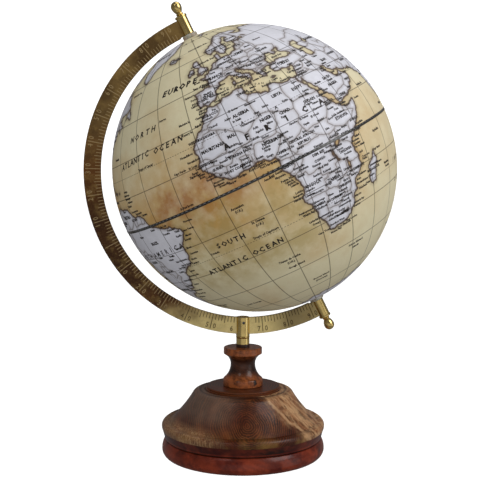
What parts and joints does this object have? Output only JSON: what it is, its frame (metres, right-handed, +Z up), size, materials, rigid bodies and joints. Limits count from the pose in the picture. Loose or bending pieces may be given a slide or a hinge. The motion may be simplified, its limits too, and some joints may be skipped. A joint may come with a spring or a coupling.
{
  "type": "desktop globe on stand",
  "caption": "Antique-style desktop globe that spins on a tilted axis in a brass half-meridian arc, on a turned wooden pedestal base.",
  "frame": {"origin": "centre of the felt's underside, on the stem's axis, at the level of the table", "axes": "+Z up along the stem; the brass arc lies in the XZ plane, bowed towards -X; -Y is the front, where the arc's scale is read; the globe's north pole leans towards -X"},
  "size_m": [0.2235, 0.2036, 0.3259],
  "materials": {
    "felt": "matt dark green felt",
    "plinth_wood": "dark red-brown stain under gloss lacquer",
    "dome_wood": "brown stain under gloss lacquer",
    "disc_wood": "dark brown stain under gloss lacquer",
    "spool_wood": "dark red-brown stain under gloss lacquer",
    "dark_ring": "blackened, satin",
    "brass": "polished, aged",
    "arc_brass": "antique patina, engraved scale",
    "steel": "plain",
    "screw_steel": "blackened",
    "globe_print": "printed map under satin lacquer",
    "tape_print": "printed tape, gloss",
    "band_plastic": "plain moulded",
    "bush_plastic": "pale moulded"
  },
  "bodies": {
    "stand": {"felt_pad": "felt", "base_plinth": "plinth_wood", "base_dome": "dome_wood", "base_cap_disc": "disc_wood", "plinth_screws": "steel", "neck_spool": "spool_wood", "stem_ring": "dark_ring", "stem_post": "brass", "stem_collar": "brass", "arc_clip": "brass", "clip_screw": "screw_steel", "tie_rod": "steel", "tie_washer": "steel", "tie_nut": "steel", "meridian_arc": "arc_brass", "upper_end_sleeve": "brass", "lower_end_sleeve": "brass", "axis_rod": "steel", "upper_finial": "brass", "lower_finial": "brass"},
    "globe": {"north_hemisphere": "globe_print", "south_hemisphere": "globe_print", "equator_band": "band_plastic", "equator_tape": "tape_print", "upper_pole_bush": "bush_plastic", "lower_pole_bush": "bush_plastic"}
  },
  "joints": [
    {"name": "globe_spin", "type": "hinge", "parent": "stand", "child": "globe", "pos_m": [0.00846, 0, 0.20796], "axis": [-0.4384, 0, 0.8988], "continuous": true}
  ]
}
